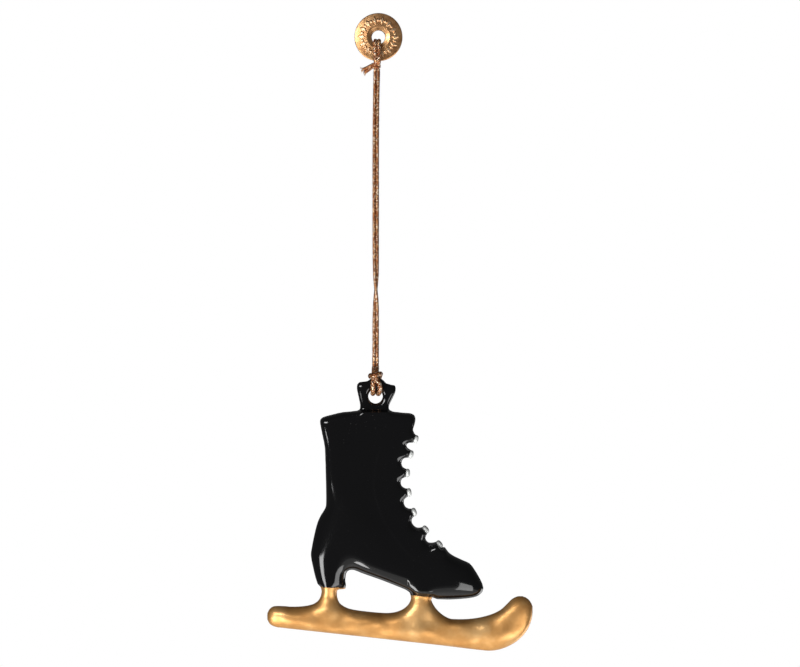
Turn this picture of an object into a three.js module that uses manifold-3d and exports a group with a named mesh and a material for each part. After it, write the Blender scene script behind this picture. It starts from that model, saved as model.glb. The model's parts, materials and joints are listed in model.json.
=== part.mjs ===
// A hanging ornament: a cast-metal lace-up skate boot on its blade, hung by a doubled metallic cord
// that is knotted through the hole of a small round tag.
//
// Units are millimetres. +Z is up, +X points to the toe and -Y is the front face.
// The origin is the centre of the tag's hole, which is where the ornament hangs.
// The boot, the blade and the lace ends are drawn in the boot's own frame, whose origin is
// the centre of the hole in the boot's tab.
import * as THREE from "three";
import { mergeVertices } from "three/addons/utils/BufferGeometryUtils.js";
import Module from "manifold-3d";

const wasm = await Module();
wasm.setup();

// ---------------------------------------------------------------- driving dimensions
const TAG_DIAMETER = 12;
const TAG_THICKNESS = 1.5;
const TAG_HOLE_DIAMETER = 3.6;
const TAG_EDGE_RADIUS = 0.45;
const TAG_DISH_DEPTH = 0.2;
const TAG_BORDER_WIDTH = 1.1;

const CORD_DIAMETER = 0.8;
const CORD_DROP = 89.8; // from the tag's hole down to the tab's hole
const CORD_X = -0.75; // the plumb line of the tab's hole, beside the tag's centre
const SEAT_GAP = 0.3; // left between separate solids that touch
const WRAP_WIDTH = 3.2; // the hitch's rounded top
const WRAP_HEIGHT = 2.4;

const BOOT_THICKNESS = 7;
const BOOT_EDGE = 0.5;
const FOOT_THICKNESS = 9.4;
const FOOT_EDGE = 1.6;

const TAB_THICKNESS = 2.4;
const TAB_EDGE = 0.4;
const TAB_HOLE_DIAMETER = 3.6;
const TAB_BAR_HEIGHT = 2.3; // metal left between the hole and the tab's top

const BLADE_THICKNESS = 5.2;
const BLADE_EDGE = 1.4;
const REAR_POST_WIDTH = 3.8;
const FRONT_POST_WIDTH = 5.1;

const LACE_COUNT = 7;
const LACE_END_LENGTH = 2; // along the boot's front edge
const LACE_END_WIDTH = 5; // across the boot
const LACE_CAP = 0.6; // thickness of a lace end's enamel cap
const LACE_DEPTH = 1.9; // from the lace ends down to the valleys between them
const LACE_PITCH_GROWTH = 1.09; // the laces lie a little further apart towards the toe

// Places in the boot's frame, where two pieces meet.
const HEEL_SEAT_Z = -47.7;
const SOLE_SEAT_Z = -49.8;
const REAR_POST_X = -13.45; // back edge of the rear post
const FRONT_POST_X = 8.85; // back edge of the front post

// ---------------------------------------------------------------- materials
const paint = (color, roughness, metalness) =>
  new THREE.MeshStandardMaterial({ color, roughness, metalness });
const BLACK_ENAMEL = paint(0x161616, 0.15, 0);
const GOLD_PAINT = paint(0xd6a462, 0.38, 1);
const WHITE_ENAMEL = paint(0xdadddd, 0.3, 0);
const TAG_BRASS = paint(0xc09058, 0.35, 1);
const CORD_METALLIC = paint(0xb06a35, 0.5, 0.6);

// ---------------------------------------------------------------- helpers
const point = (x, z) => new THREE.Vector2(x, z);

// Turns geometry drawn in x and y, with its depth along z, so that it stands in x and z.
const STAND_UP = new THREE.Matrix4().set(1, 0, 0, 0, 0, 0, -1, 0, 0, 1, 0, 0, 0, 0, 0, 1);

// A plate of an outline's shape, centred on y = 0, with rounded edges inside the outline.
function plate(outline, thickness, edge, roundSteps = 2, curveSegments = 4) {
  const geometry = new THREE.ExtrudeGeometry(outline, {
    depth: thickness - 2 * edge,
    bevelThickness: edge,
    bevelSize: edge,
    bevelOffset: -edge,
    bevelSegments: roundSteps,
    curveSegments,
  });
  geometry.translate(0, 0, edge - thickness / 2);
  return geometry.applyMatrix4(STAND_UP);
}

// An eight-sided tube along a smooth route of points, round or, where `across` is wider, flat.
function tube(route, steps, across = CORD_DIAMETER) {
  const section = new THREE.Shape();
  section.absellipse(0, 0, across / 2, CORD_DIAMETER / 2, 0, 2 * Math.PI);
  return new THREE.ExtrudeGeometry(section, {
    steps,
    curveSegments: 4, // an ellipse gets two sides for each
    extrudePath: new THREE.CatmullRomCurve3(route.map((p) => new THREE.Vector3(...p))),
  });
}

// Solids for joining and cutting, and the geometry that comes back from them.
function solid(geometry) {
  const bare = geometry.clone();
  bare.deleteAttribute("normal");
  bare.deleteAttribute("uv");
  const merged = mergeVertices(bare, 1e-4);
  return new wasm.Manifold(
    new wasm.Mesh({
      numProp: 3,
      vertProperties: merged.attributes.position.array,
      triVerts: new Uint32Array(merged.index.array),
    }),
  );
}

function surface(made) {
  const mesh = made.getMesh();
  const geometry = new THREE.BufferGeometry();
  geometry.setAttribute("position", new THREE.BufferAttribute(mesh.vertProperties, 3));
  geometry.setIndex(new THREE.BufferAttribute(mesh.triVerts, 1));
  geometry.computeVertexNormals();
  return geometry;
}

const ornament = new THREE.Group();
const skate = new THREE.Group();
skate.position.set(CORD_X, 0, -CORD_DROP);
ornament.add(skate);

function addPart(group, name, geometry, material) {
  const mesh = new THREE.Mesh(geometry, material);
  mesh.name = name;
  group.add(mesh);
}

// ---------------------------------------------------------------- tag
// A turned disc with its axis along Y: a flat border, a shallow dish on both faces and a hole.
function tagDisc() {
  const rim = TAG_DIAMETER / 2;
  const hole = TAG_HOLE_DIAMETER / 2;
  const face = TAG_THICKNESS / 2;
  const dish = face - TAG_DISH_DEPTH;
  const half = [
    point(hole, 0),
    point(hole, dish - TAG_EDGE_RADIUS / 2),
    point(hole + TAG_EDGE_RADIUS / 2, dish),
    point(rim - TAG_BORDER_WIDTH - TAG_DISH_DEPTH, dish),
    point(rim - TAG_BORDER_WIDTH, face),
    point(rim - TAG_EDGE_RADIUS, face),
    point(rim - TAG_EDGE_RADIUS * 0.3, face - TAG_EDGE_RADIUS * 0.3),
    point(rim, face - TAG_EDGE_RADIUS),
  ];
  const mirrored = half.slice(1).reverse().map((p) => point(p.x, -p.y));
  return new THREE.LatheGeometry([...mirrored, half[0], ...half.slice(1), mirrored[0]].reverse(), 40);
}
addPart(ornament, "tag_disc", tagDisc(), TAG_BRASS);

// ---------------------------------------------------------------- boot
// The lace ends stand on one curved line down the boot's front edge.
function laceStations() {
  const line = new THREE.SplineCurve([
    point(10.7, -10.85),
    point(8.65, -18.9),
    point(10.4, -29.1),
    point(16.5, -36.6),
  ]);
  return Array.from({ length: LACE_COUNT }, (_, i) => {
    const share = (i / (LACE_COUNT - 1)) ** LACE_PITCH_GROWTH;
    const along = line.getTangentAt(share);
    return { at: line.getPointAt(share), along, out: point(-along.y, along.x) };
  });
}

// A point beside a lace's station: a distance along the edge and a depth below the lace ends.
const beside = ({ at, along, out }, distance, depth) =>
  at.clone().addScaledVector(along, distance).addScaledVector(out, -depth);

function bootOutline(laces) {
  const half = LACE_END_LENGTH / 2;
  const bump = LACE_CAP + SEAT_GAP;
  const boot = new THREE.Shape();
  boot.moveTo(REAR_POST_X, HEEL_SEAT_Z);
  // back of the heel, the ankle and the shaft
  boot.splineThru([
    point(-14.6, -46.6),
    point(-15.5, -43),
    point(-16.15, -39.9),
    point(-15.3, -34.9),
    point(-12.4, -26.6),
    point(-12.45, -19),
    point(-12.7, -12.5),
    point(-13.85, -6.5),
  ]);
  boot.quadraticCurveTo(-13.9, -5.6, -12.4, -5);
  boot.quadraticCurveTo(-9, -3.8, -5, -3.6);
  boot.lineTo(4.5, -3.8);
  boot.lineTo(8.8, -4.2);
  boot.quadraticCurveTo(10.3, -4.5, 9.75, -6.95);
  const first = beside(laces[0], -half, bump);
  boot.quadraticCurveTo(9.3, -9, first.x, first.y);
  laces.forEach((lace, i) => {
    const end = beside(lace, half, bump);
    boot.lineTo(end.x, end.y);
    if (i + 1 < laces.length) {
      const next = beside(laces[i + 1], -half, bump);
      const valley = beside(lace, 0, 2 * LACE_DEPTH - bump)
        .add(beside(laces[i + 1], 0, 2 * LACE_DEPTH - bump))
        .multiplyScalar(0.5);
      boot.quadraticCurveTo(valley.x, valley.y, next.x, next.y);
    }
  });
  // the toe and the sole
  boot.splineThru([
    point(19.6, -39.9),
    point(23.7, -41.9),
    point(26.2, -45.8),
    point(26.6, -48.9),
    point(23.2, -50.45),
    point(FRONT_POST_X + FRONT_POST_WIDTH + 2 * SEAT_GAP, -50.7),
  ]);
  boot.lineTo(FRONT_POST_X + FRONT_POST_WIDTH + SEAT_GAP / 2, SOLE_SEAT_Z);
  boot.lineTo(FRONT_POST_X, SOLE_SEAT_Z);
  // the arch, and the front lip of the heel beside the rear post
  boot.lineTo(7.6, -48.3);
  boot.quadraticCurveTo(0, -45.1, -5.2, -43.4);
  boot.quadraticCurveTo(-7.6, -43.1, -7.5, -46);
  boot.quadraticCurveTo(-7, -48.3, -8.2, -48.25);
  boot.lineTo(REAR_POST_X + REAR_POST_WIDTH + SEAT_GAP, -48.2);
  boot.lineTo(REAR_POST_X + REAR_POST_WIDTH + SEAT_GAP, HEEL_SEAT_Z);
  return boot;
}

// The full part of the foot, which stands proud of the flatter shaft on both faces.
function footOutline() {
  const foot = new THREE.Shape();
  foot.moveTo(-12.4, -46.6);
  foot.bezierCurveTo(-15.6, -41, -14.6, -29, -8, -29.6);
  foot.bezierCurveTo(0, -30, 9, -37.5, 18, -41.4);
  foot.bezierCurveTo(24.4, -43.8, 27.6, -49.3, 20.6, -49.3);
  foot.lineTo(9, -48.6);
  foot.quadraticCurveTo(0, -44.6, -5, -42.6);
  foot.quadraticCurveTo(-8.2, -42.4, -8.4, -46.6);
  return foot;
}

// The tab over the collar: two ears with a bar between them, over the hole that the cord goes through.
function tabOutline() {
  const hole = TAB_HOLE_DIAMETER / 2;
  const top = hole + TAB_BAR_HEIGHT;
  const tab = new THREE.Shape();
  tab.moveTo(-4.3, -7);
  tab.lineTo(-4.3, -3.4);
  tab.lineTo(-3.9, -2);
  tab.lineTo(-4.7, 2);
  tab.quadraticCurveTo(-4.6, 3.6, -3.2, 3.6);
  tab.quadraticCurveTo(-1.6, top, 0, top);
  tab.quadraticCurveTo(2, top, 3, 3.1);
  tab.quadraticCurveTo(4.9, 2.8, 4.9, 1.6);
  tab.lineTo(3.6, -2);
  tab.lineTo(3.6, -7);
  const bore = new THREE.Path();
  bore.absarc(0, 0, hole, 0, 2 * Math.PI);
  tab.holes.push(bore);
  return tab;
}

const laces = laceStations();
const bootCasting = solid(plate(bootOutline(laces), BOOT_THICKNESS, BOOT_EDGE))
  .add(solid(plate(footOutline(), FOOT_THICKNESS, FOOT_EDGE, 3)))
  .add(solid(plate(tabOutline(), TAB_THICKNESS, TAB_EDGE, 1)));
addPart(skate, "boot_casting", surface(bootCasting), BLACK_ENAMEL);

// ---------------------------------------------------------------- lace ends
// Each is a thin white cap on its bump of the boot's front edge.
laces.forEach((lace, i) => {
  const half = LACE_END_LENGTH / 2;
  const cap = new THREE.Shape([
    beside(lace, -half, LACE_CAP),
    beside(lace, half, LACE_CAP),
    beside(lace, half * 0.7, 0),
    beside(lace, -half * 0.7, 0),
  ]);
  const geometry = new THREE.ExtrudeGeometry(cap, { depth: LACE_END_WIDTH, bevelEnabled: false });
  geometry.translate(0, 0, -LACE_END_WIDTH / 2);
  addPart(skate, `lace_end_${i + 1}`, geometry.applyMatrix4(STAND_UP), WHITE_ENAMEL);
});

// ---------------------------------------------------------------- blade
// The runner, with its curled toe and its two posts up to the heel and the sole.
function bladeOutline() {
  const blade = new THREE.Shape();
  blade.moveTo(REAR_POST_X + REAR_POST_WIDTH, HEEL_SEAT_Z);
  blade.lineTo(REAR_POST_X, HEEL_SEAT_Z);
  blade.lineTo(REAR_POST_X, -49);
  blade.bezierCurveTo(-13.9, -52, -16.2, -52.4, -19.8, -52.55);
  blade.lineTo(-24.3, -52.4);
  blade.bezierCurveTo(-26.3, -52.2, -26.9, -53.8, -26.95, -55);
  blade.bezierCurveTo(-26.9, -56.5, -26, -57.7, -24.3, -57.8);
  blade.lineTo(28.2, -63.55);
  blade.bezierCurveTo(34, -63.7, 39.2, -60.3, 39.3, -53.6);
  blade.bezierCurveTo(39.2, -48.6, 35.4, -48.4, 33.4, -51.3);
  blade.bezierCurveTo(30.4, -54.3, 26.8, -56.1, 21, -55.7);
  const postFront = FRONT_POST_X + FRONT_POST_WIDTH;
  blade.bezierCurveTo(17, -55.6, postFront + 0.4, -53, postFront, SOLE_SEAT_Z - 1.1);
  blade.lineTo(postFront, SOLE_SEAT_Z);
  blade.lineTo(FRONT_POST_X, SOLE_SEAT_Z);
  blade.bezierCurveTo(FRONT_POST_X, -53.2, 6, -54.2, 2.6, -54.2);
  blade.quadraticCurveTo(-2.5, -53.9, -6.4, -53.1);
  blade.quadraticCurveTo(-9.2, -52.3, REAR_POST_X + REAR_POST_WIDTH, -49.6);
  return blade;
}
addPart(skate, "blade_casting", plate(bladeOutline(), BLADE_THICKNESS, BLADE_EDGE, 3), GOLD_PAINT);

// ---------------------------------------------------------------- cord
// The routes' points are placed by hand: x, y, z.
const TAG_LOOP_ROUTE = [
  [-0.35, -1.15, -6.6],
  [-0.25, -1.42, -6],
  [-0.1, -1.5, -4.6],
  [0, -1.5, -3],
  [0, -1.25, -1.7],
  [0, -0.6, -1.12],
  [0, 0, -1.05],
  [0, 0.6, -1.12],
  [0, 1.25, -1.7],
  [0, 1.5, -3],
  [-0.1, 1.5, -4.6],
  [-0.25, 1.42, -6],
  [-0.35, 1.15, -6.6],
];
const LEFT_STRAND_ROUTE = [
  [-0.98, 0, -8.45],
  [-1.06, 0, -12],
  [-1.14, 0, -17],
  [-1.2, 0, -22],
  [-1.23, 0, -27],
  [-1.25, 0, -32],
  [-1.25, 0, -38],
  [-1.25, 0, -44],
  [-1.24, 0, -50],
  [-1.2, -0.12, -55],
  [-1.05, -0.4, -59.5],
  [-0.65, -0.58, -63],
  [-0.25, -0.4, -66.5],
  [-0.14, -0.12, -71],
  [-0.14, 0, -76],
  [-0.17, 0, -79.5],
  [-0.19, 0, -82.2],
];
const RIGHT_STRAND_ROUTE = [
  [0.14, 0, -8.45],
  [0.06, 0, -12],
  [-0.04, 0, -17],
  [-0.09, 0, -22],
  [-0.12, 0, -27],
  [-0.13, 0, -32],
  [-0.13, 0, -38],
  [-0.13, 0, -44],
  [-0.14, 0, -50],
  [-0.16, 0.12, -55],
  [-0.25, 0.4, -59.5],
  [-0.65, 0.58, -63],
  [-1.05, 0.4, -66.5],
  [-1.24, 0.12, -71],
  [-1.26, 0, -76],
  [-1.28, 0, -79.5],
  [-1.29, 0, -82.2],
];
const TAIL_ROUTES = {
  upper: [
    [-2.05, -0.1, -7.1],
    [-3.1, -0.1, -7.3],
    [-4.3, -0.1, -7.85],
  ],
  lower: [
    [-1.75, -0.1, -8.2],
    [-2.5, -0.1, -8.5],
    [-3.3, -0.1, -9.3],
  ],
};

addPart(ornament, "cord_tag_loop", tube(TAG_LOOP_ROUTE, 12, 2 * CORD_DIAMETER), CORD_METALLIC);

// The knot that closes the loop through the tag, as a plain rounded solid.
const KNOT_CENTRE = new THREE.Vector3(-0.42, 0, -7.4);
const knot = new THREE.SphereGeometry(1, 12, 8).scale(1.3, 1.15, 0.75);
addPart(ornament, "cord_knot", knot.translate(...KNOT_CENTRE), CORD_METALLIC);
for (const [place, route] of Object.entries(TAIL_ROUTES))
  addPart(ornament, `cord_tail_${place}`, tube(route, 2), CORD_METALLIC);

addPart(ornament, "cord_strand_left", tube(LEFT_STRAND_ROUTE, 28), CORD_METALLIC);
addPart(ornament, "cord_strand_right", tube(RIGHT_STRAND_ROUTE, 28), CORD_METALLIC);

// The hitch: a ring of two turns round the tab's bar, under the rounded wrap that closes it.
function hitch() {
  const barCentre = (TAB_HOLE_DIAMETER + TAB_BAR_HEIGHT) / 2;
  const inner = Math.hypot(TAB_THICKNESS, TAB_BAR_HEIGHT) / 2 + SEAT_GAP / 2;
  const middle = inner + CORD_DIAMETER / 2;
  const profile = new THREE.Path();
  profile.absellipse(middle, 0, CORD_DIAMETER / 2, CORD_DIAMETER * 1.25, 0, 2 * Math.PI);
  const ring = new THREE.LatheGeometry(profile.getPoints(8), 20).rotateZ(Math.PI / 2);
  const wrap = new THREE.SphereGeometry(1, 14, 10).scale(WRAP_WIDTH / 2, WRAP_WIDTH / 2, WRAP_HEIGHT / 2);
  wrap.translate(0, 0, inner + WRAP_HEIGHT / 2);
  return surface(solid(ring).add(solid(wrap))).translate(0, 0, barCentre);
}
addPart(skate, "cord_hitch", hitch(), CORD_METALLIC);

export default ornament;
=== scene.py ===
# %% [markdown]
# # A hanging skate ornament
#
# The object is a small metal casting of a lace-up skate boot on a curled runner. It is dipped in
# black enamel, its runner is painted gold and its lace ends white. A doubled metallic cord passes
# through the hole in its tab and is knotted through the hole of a round brass tag.
#
# The CAD model holds the sizes, the places and the joints. This file makes the visible surfaces:
# each cell first says what the piece is, how it could be made, and why this way was chosen.
#
# All the drawing below is in millimetres, and `MM` turns it to Blender's metres.

# %% Load the frame
import json

import bpy
import numpy as np
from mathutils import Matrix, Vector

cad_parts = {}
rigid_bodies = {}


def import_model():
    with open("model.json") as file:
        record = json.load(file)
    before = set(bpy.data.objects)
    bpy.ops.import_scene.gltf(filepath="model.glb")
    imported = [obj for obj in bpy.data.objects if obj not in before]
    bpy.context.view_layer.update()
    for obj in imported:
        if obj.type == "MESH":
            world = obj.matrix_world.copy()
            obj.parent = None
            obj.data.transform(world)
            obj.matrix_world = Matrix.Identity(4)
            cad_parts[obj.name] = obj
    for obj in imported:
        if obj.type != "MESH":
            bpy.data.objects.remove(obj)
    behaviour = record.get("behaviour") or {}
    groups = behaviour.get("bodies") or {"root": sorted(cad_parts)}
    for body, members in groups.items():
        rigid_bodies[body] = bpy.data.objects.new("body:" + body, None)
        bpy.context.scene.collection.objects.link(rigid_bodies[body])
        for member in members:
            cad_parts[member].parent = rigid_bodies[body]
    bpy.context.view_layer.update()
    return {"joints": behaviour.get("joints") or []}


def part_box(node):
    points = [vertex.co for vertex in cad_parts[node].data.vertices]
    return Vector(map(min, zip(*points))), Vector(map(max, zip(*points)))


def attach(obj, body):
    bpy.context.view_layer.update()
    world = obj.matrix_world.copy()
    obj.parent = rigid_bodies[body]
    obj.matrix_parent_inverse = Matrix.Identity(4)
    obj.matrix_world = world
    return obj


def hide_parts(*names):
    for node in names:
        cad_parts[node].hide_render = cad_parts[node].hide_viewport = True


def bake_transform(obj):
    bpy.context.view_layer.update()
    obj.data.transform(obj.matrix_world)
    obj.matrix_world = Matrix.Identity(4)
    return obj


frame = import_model()
MM = 0.001
joints = {joint["name"]: np.array(joint["pos_m"]) / MM for joint in frame["joints"]}
print("joints in mm:", {name: at.round(2).tolist() for name, at in joints.items()})

# %% [markdown]
# ## The camera
#
# A longish lens from straight in front keeps the boot's outline undistorted. The camera stands
# level with the middle of the ornament, so the tag is seen a little from below.

# %% Camera
WIDTH_SEEN = 200.0
FOCAL_MM = 100.0
SENSOR_MM = 36.0
VIEW_CENTRE = (5.38, 0.0, -74.1)

camera_data = bpy.data.cameras.new("camera")
camera_data.lens = FOCAL_MM
camera_data.sensor_width = SENSOR_MM
camera_data.clip_start = 0.01
camera = bpy.data.objects.new("camera", camera_data)
distance = WIDTH_SEEN * FOCAL_MM / SENSOR_MM
camera.location = (VIEW_CENTRE[0] * MM, -distance * MM, VIEW_CENTRE[2] * MM)
camera.rotation_euler = (np.pi / 2, 0, 0)
bpy.context.scene.collection.objects.link(camera)
bpy.context.scene.camera = camera

# %% [markdown]
# ## Helpers for shapes
#
# Every new mesh is made from two arrays, its points and its faces, which are worked out whole with
# numpy. A grid of points needs only one rule for its faces: the tag, cords and lace ends use it.


# %% Shape helpers
def add_piece(name, points, faces, attributes=None):
    """A smooth-shaded mesh object from points in millimetres and a list of face arrays."""
    mesh = bpy.data.meshes.new(name)
    mesh.from_pydata((np.asarray(points) * MM).tolist(), [], [f for part in faces for f in part.tolist()])
    for key, values in (attributes or {}).items():
        kind = "FLOAT" if values.ndim == 1 else "FLOAT_VECTOR"
        field = "value" if values.ndim == 1 else "vector"
        layer = mesh.attributes.new(key, kind, "POINT")
        layer.data.foreach_set(field, values.astype(np.float32).ravel())
    mesh.polygons.foreach_set("use_smooth", np.ones(len(mesh.polygons), bool))
    mesh.update()
    piece = bpy.data.objects.new(name, mesh)
    bpy.context.scene.collection.objects.link(piece)
    print(name, len(mesh.vertices), "points")
    return piece


def grid_faces(rows, columns, close_rows=False):
    """Four-sided faces of a grid whose columns close on themselves, and whose rows may too."""
    i, j = np.meshgrid(np.arange(rows - (not close_rows)), np.arange(columns), indexing="ij")
    below = ((i + 1) % rows) * columns
    right = (j + 1) % columns
    corners = (i * columns + j, i * columns + right, below + right, below + j)
    return np.stack(corners, -1).reshape(-1, 4)


def capped_tube(rings, start, end):
    """Points and faces of a row of rings, closed at each end by a fan round one more point."""
    rows, columns = rings.shape[:2]
    ring = np.arange(columns)
    following = np.roll(ring, -1)
    last = (rows - 1) * columns
    first_fan = np.stack([np.full(columns, rows * columns), following, ring], 1)
    last_fan = np.stack([np.full(columns, rows * columns + 1), last + ring, last + following], 1)
    return np.vstack([rings.reshape(-1, 3), start, end]), [grid_faces(rows, columns), first_fan, last_fan]


def smoothstep(low, high, x):
    """0 below low, 1 above high, and a smooth rise between them."""
    t = np.clip((x - low) / (high - low), 0, 1)
    return t * t * (3 - 2 * t)


# %% [markdown]
# ## Helpers for curves
#
# A route or an outline has only the points that its shape needs. A Catmull-Rom curve passes through
# all of them, and a Bezier curve leaves its first point towards the second and arrives from the
# last but one.


# %% Curve helpers
def curve_through(points, steps=8):
    """A Catmull-Rom curve: each span blends the four points round it with cubic weights."""
    p = np.asarray(points, float)
    p = np.vstack([2 * p[0] - p[1], p, 2 * p[-1] - p[-2]])
    t = np.linspace(0, 1, steps, endpoint=False)[:, None]
    before, start, end, after = (p[k:len(p) - 3 + k, None] for k in range(4))
    linear = (end - before) / 2
    square = before - 2.5 * start + 2 * end - after / 2
    cube = (after - before) / 2 + 1.5 * (start - end)
    spans = start + linear * t + square * t**2 + cube * t**3
    return np.vstack([spans.reshape(-1, p.shape[1]), p[-2]])


def bezier(*corners, steps=14):
    """A Bezier curve of any degree, by repeated mixing of neighbouring corners."""
    t = np.linspace(0, 1, steps)[:, None, None]
    mixed = np.asarray(corners, float)[None] + 0 * t
    while mixed.shape[1] > 1:
        mixed = mixed[:, :-1] * (1 - t) + mixed[:, 1:] * t
    return mixed[:, 0]


def even_steps(path, step):
    """The same path with its points an even distance apart."""
    lengths = np.r_[0, np.cumsum(np.linalg.norm(np.diff(path, axis=0), axis=1))]
    at = np.linspace(0, lengths[-1], max(4, int(lengths[-1] / step)))
    return np.stack([np.interp(at, lengths, path[:, k]) for k in range(path.shape[1])], 1), at


# %% [markdown]
# ## The cord
#
# The cord is a thin braid of metallic yarn, about 0.8 mm thick. Its yarns run round it both ways
# and pass over and under each other. A flat bump texture would leave its edge straight, so the
# braid is real relief: the radius of the tube rises where a yarn lies on top.
#
# The tube carries a circle along a route. The circle's turn has to stay steady where the route
# bends, so each step's side vector is the last one, turned no more than the bend needs.
#
# The mesh also carries each point's place on the cord as if it lay straight, for the yarn's
# pattern. Each piece takes a stretch of its own in that space, so no two show the same pattern.

# %% Braided tube
CORD_DIAMETER = 0.8
YARNS_EACH_WAY = 5
YARN_RELIEF = 0.11
CORD_POINTS_AROUND = 28
CORD_STEP = 0.085
STRETCH_LENGTH = 10.0


def steady_sides(tangents, first_side):
    """Side vectors along a path: each is the one before it with its part along the tangent removed."""
    sides = np.zeros_like(tangents)
    side = np.asarray(first_side, float)
    for k, tangent in enumerate(tangents):
        side = side - tangent * (side @ tangent)
        side = side / np.linalg.norm(side)
        sides[k] = side
    return sides


def braid_height(angle, along, radius):
    """0 to 1: two families of helical yarns at 45 degrees, each on top in turn."""
    pitch = YARNS_EACH_WAY / radius
    one = YARNS_EACH_WAY * angle + pitch * along
    other = YARNS_EACH_WAY * angle - pitch * along
    over = np.cos(one / 2) ** 2 * (0.65 + 0.35 * np.cos(other))
    under = np.cos(other / 2) ** 2 * (0.65 - 0.35 * np.cos(one))
    return np.maximum(over, under)


def braided_tube(name, route, first_side, radius=CORD_DIAMETER / 2):
    """A braid carried along a route: point = path + radius * (cos a * side + sin a * other side)."""
    path, along = even_steps(curve_through(route, 12), CORD_STEP)
    tangents = np.gradient(path, axis=0)
    tangents /= np.linalg.norm(tangents, axis=1)[:, None]
    side = steady_sides(tangents, first_side)
    other = np.cross(tangents, side)
    angle = np.linspace(0, 2 * np.pi, CORD_POINTS_AROUND, endpoint=False)
    height = braid_height(angle[None], along[:, None], radius)
    out = radius * (1 - YARN_RELIEF + 2 * YARN_RELIEF * height)
    ring = np.cos(angle)[None, :, None] * side[:, None] + np.sin(angle)[None, :, None] * other[:, None]
    points, faces = capped_tube(path[:, None] + out[..., None] * ring, path[0], path[-1])
    straight = np.stack(np.broadcast_arrays(
        radius * np.cos(angle)[None], radius * np.sin(angle)[None], along[:, None]), -1).reshape(-1, 3)
    straight = np.vstack([straight, [0, 0, along[0]], [0, 0, along[-1]]])
    own_stretch = STRETCH_LENGTH * len(bpy.data.objects)
    # yarn_height also darkens the yarn's colour where it lies low, as painted shade.
    attributes = {"cord_place": straight + own_stretch, "yarn_height": np.r_[height.ravel(), 0.5, 0.5]}
    piece = add_piece(name, points, faces, attributes)
    return piece, path, along[-1]


# %% [markdown]
# ## The two long strands
#
# The doubled cord hangs straight under the weight of the casting. The strands lie side by side,
# change places once in a slow half turn two thirds of the way down, and end in the knot above and
# the hitch below. The points are the same ones that the CAD model uses, with a last bit at each
# end that goes into the knot and the hitch. The CAD solids need a gap between them, so here the
# two are drawn together until they all but touch, which moves each by less than 0.2 mm.

# %% Long strands
# Each row is the left strand's x, the right strand's x, the right strand's y and the height. The
# left strand's y is the opposite one.
STRAND_ROWS = np.array([
    (-0.72, -0.12, 0, -7.3), (-0.98, 0.14, 0, -8.45), (-1.06, 0.06, 0, -12), (-1.14, -0.04, 0, -17),
    (-1.2, -0.09, 0, -22), (-1.23, -0.12, 0, -27), (-1.25, -0.13, 0, -32), (-1.25, -0.13, 0, -38),
    (-1.25, -0.13, 0, -44), (-1.24, -0.14, 0, -50), (-1.2, -0.16, 0.12, -55), (-1.05, -0.25, 0.4, -59.5),
    (-0.65, -0.65, 0.58, -63), (-0.25, -1.05, 0.4, -66.5), (-0.14, -1.24, 0.12, -71),
    (-0.14, -1.26, 0, -76), (-0.17, -1.28, 0, -79.5), (-0.19, -1.29, 0, -82.2), (-0.5, -1.0, 0, -83.6),
])
STRAND_GAP_KEPT = 0.73
left_route = STRAND_ROWS[:, [0, 2, 3]] * (1, -1, 1)
right_route = STRAND_ROWS[:, [1, 2, 3]]
half_apart = (right_route - left_route) / 2 * STRAND_GAP_KEPT
middle_line = (right_route + left_route) / 2
strand_left, left_path, left_length = braided_tube(
    "cord_strand_left_braid", middle_line - half_apart, (1, 0, 0))
strand_right, right_path, right_length = braided_tube(
    "cord_strand_right_braid", middle_line + half_apart, (1, 0, 0))
print("strand lengths in mm:", round(left_length, 1), round(right_length, 1))

# %% [markdown]
# ## The loop through the tag and its knot
#
# At the top both strands go through the tag's hole and over its rim, front and back, and are tied
# off just under it. The knot is a turn of cord drawn tight round the others, and the two cut ends
# leave it to the left with their yarns coming apart.

# %% Tag loop and knot
LOOP_RADIUS = 0.5
LOOP_SPREAD = 0.44
LOOP_SPREAD_AT_KNOT = 0.16
TAG_LOOP_ROUTE = np.array([
    (-0.35, -0.3, -7.2), (-0.35, -1.0, -6.7), (-0.3, -1.42, -6), (-0.3, -1.5, -4.6), (-0.3, -1.5, -3),
    (-0.3, -1.25, -1.65), (-0.3, -0.6, -1.05), (-0.3, 0, -0.97), (-0.3, 0.6, -1.05),
    (-0.3, 1.25, -1.7), (-0.3, 1.5, -3), (-0.3, 1.5, -4.6), (-0.3, 1.42, -6), (-0.35, 1.0, -6.7),
    (-0.35, 0.3, -7.2),
])
near_knot = smoothstep(-5.5, -7.2, TAG_LOOP_ROUTE[:, 2])
loop_spread = LOOP_SPREAD - (LOOP_SPREAD - LOOP_SPREAD_AT_KNOT) * near_knot
aside = loop_spread[:, None] * (1, 0, 0)
tag_loop_left, _, _ = braided_tube("cord_tag_loop_left", TAG_LOOP_ROUTE - aside, (1, 0, 0), LOOP_RADIUS)
tag_loop_right, _, _ = braided_tube("cord_tag_loop_right", TAG_LOOP_ROUTE + aside, (1, 0, 0), LOOP_RADIUS)

KNOT_RADIUS = 0.36
KNOT_TOP = -6.95
KNOT_DROP = 0.85
KNOT_START = 2.6
turn = np.linspace(0, 3.1 * np.pi, 22)
knot_turn = np.stack([
    -0.42 + 0.62 * np.cos(turn + KNOT_START),
    0.78 * np.sin(turn + KNOT_START),
    KNOT_TOP - KNOT_DROP * turn / turn[-1] - 0.12 * np.cos(turn),
], 1)
cord_knot, _, _ = braided_tube("cord_knot_turn", knot_turn, (0, 0, 1), KNOT_RADIUS)

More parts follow.
